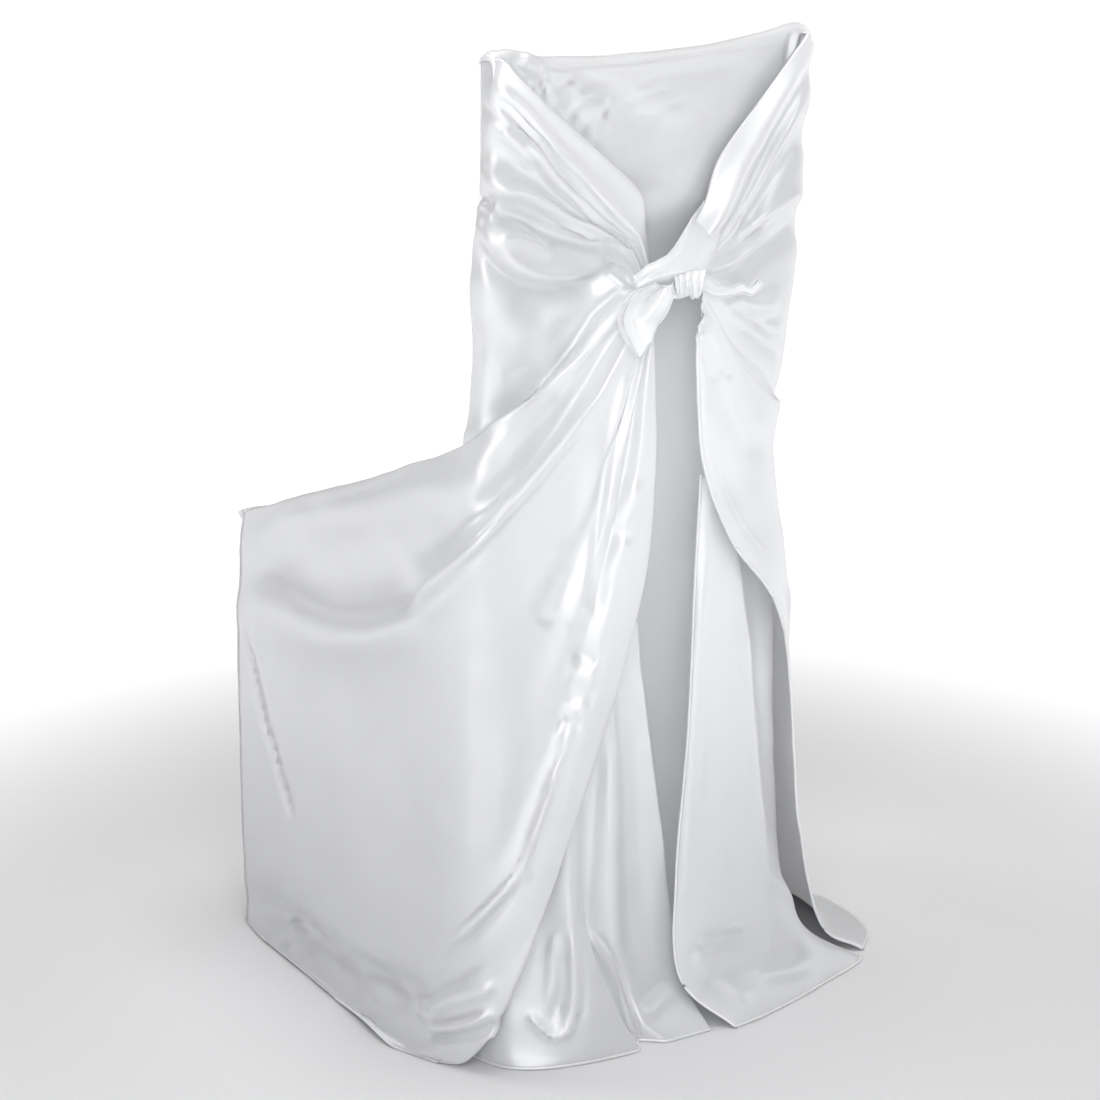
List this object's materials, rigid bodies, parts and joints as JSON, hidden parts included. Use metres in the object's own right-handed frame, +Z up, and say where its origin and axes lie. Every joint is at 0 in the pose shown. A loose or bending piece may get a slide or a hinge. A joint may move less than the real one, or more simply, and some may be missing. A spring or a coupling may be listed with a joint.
{
  "type": "chair cover",
  "caption": "Fitted white satin chair cover, tied in a knot behind the backrest, with swept side cloth and a slit skirt.",
  "frame": {"origin": "middle of the cover's footprint box, on the floor", "axes": "+X to the right as seen from behind, +Y the way the sitter faces, +Z up"},
  "size_m": [0.6083, 0.55, 1.0128],
  "materials": {
    "satin": "glossy white satin",
    "panel_satin": "white satin in the shade of the tied-back cloth",
    "tie_satin": "gathered glossy white satin"
  },
  "bodies": {
    "root": {"back_panel": "panel_satin", "front_panel": "satin", "knot": "tie_satin", "knot_band": "tie_satin", "left_gore": "satin", "left_tie": "tie_satin", "left_wing": "satin", "right_gore": "satin", "right_tie": "tie_satin", "right_wing": "satin"}
  },
  "joints": []
}
